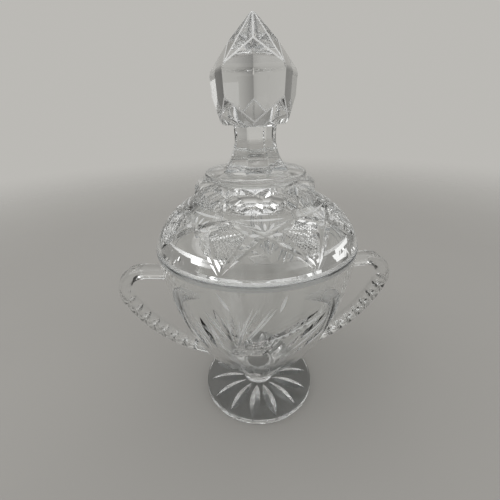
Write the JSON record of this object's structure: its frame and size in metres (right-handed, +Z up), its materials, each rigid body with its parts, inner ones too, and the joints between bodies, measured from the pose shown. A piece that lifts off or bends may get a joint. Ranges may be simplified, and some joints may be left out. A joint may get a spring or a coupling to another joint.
{
  "type": "glass sugar bowl",
  "caption": "Footed sugar bowl of clear cut glass with loop handles on both sides and a domed lid topped by a faceted pointed finial.",
  "frame": {"origin": "centre of the foot's underside, on the surface that the bowl stands on", "axes": "+Z up along the bowl's axis, handles on +X and -X, the cut sprays face -Y and +Y"},
  "size_m": [0.1568, 0.1046, 0.2051],
  "materials": {
    "clear_glass": "polished cut crystal"
  },
  "bodies": {
    "bowl": {"foot": "clear_glass", "stem": "clear_glass", "bowl": "clear_glass", "handle_left": "clear_glass", "handle_right": "clear_glass"},
    "lid": {"lid": "clear_glass", "finial_pad": "clear_glass", "finial": "clear_glass"}
  },
  "joints": [
    {"name": "lid_lift", "type": "slide", "parent": "bowl", "child": "lid", "axis": [0, 0, 1], "range_m": [0, 0.12]}
  ]
}
